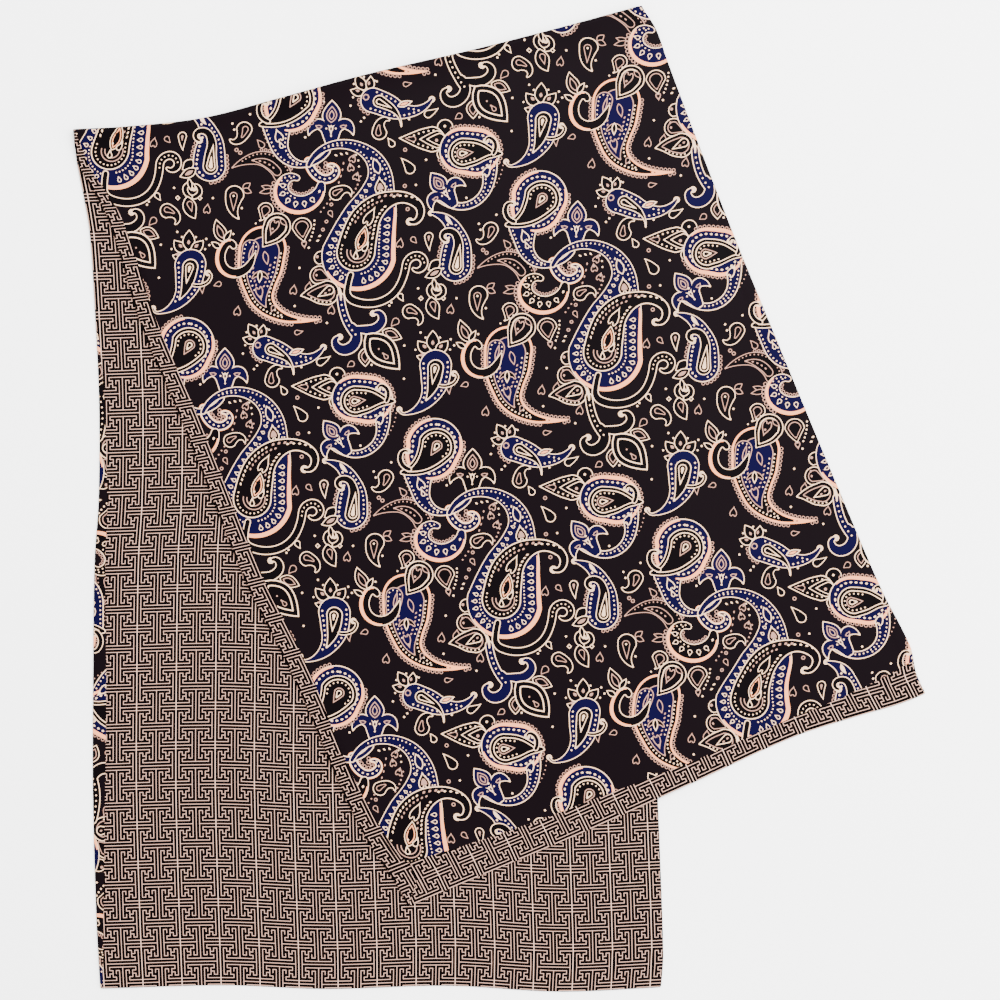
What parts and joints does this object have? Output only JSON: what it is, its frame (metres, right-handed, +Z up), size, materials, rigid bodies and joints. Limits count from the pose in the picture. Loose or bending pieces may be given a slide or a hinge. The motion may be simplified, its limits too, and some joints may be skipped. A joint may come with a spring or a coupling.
{
  "type": "long silk scarf",
  "caption": "Long two-faced silk scarf, a paisley panel and a fret panel sewn back to back, laid flat and folded over once on a slant.",
  "frame": {"origin": "on the surface that the scarf lies on, under the middle of the laid-out scarf's bounding box", "axes": "+Z up out of the surface, +Y from the hems towards the fold, +X to the right seen from above"},
  "size_m": [0.8018, 0.9278, 0.0083],
  "materials": {
    "paisley_silk": "printed silk twill, soft satin sheen",
    "fret_silk": "printed silk twill, soft satin sheen"
  },
  "bodies": {
    "root": {"paisley_panel": "paisley_silk", "fret_panel": "fret_silk"}
  },
  "joints": []
}
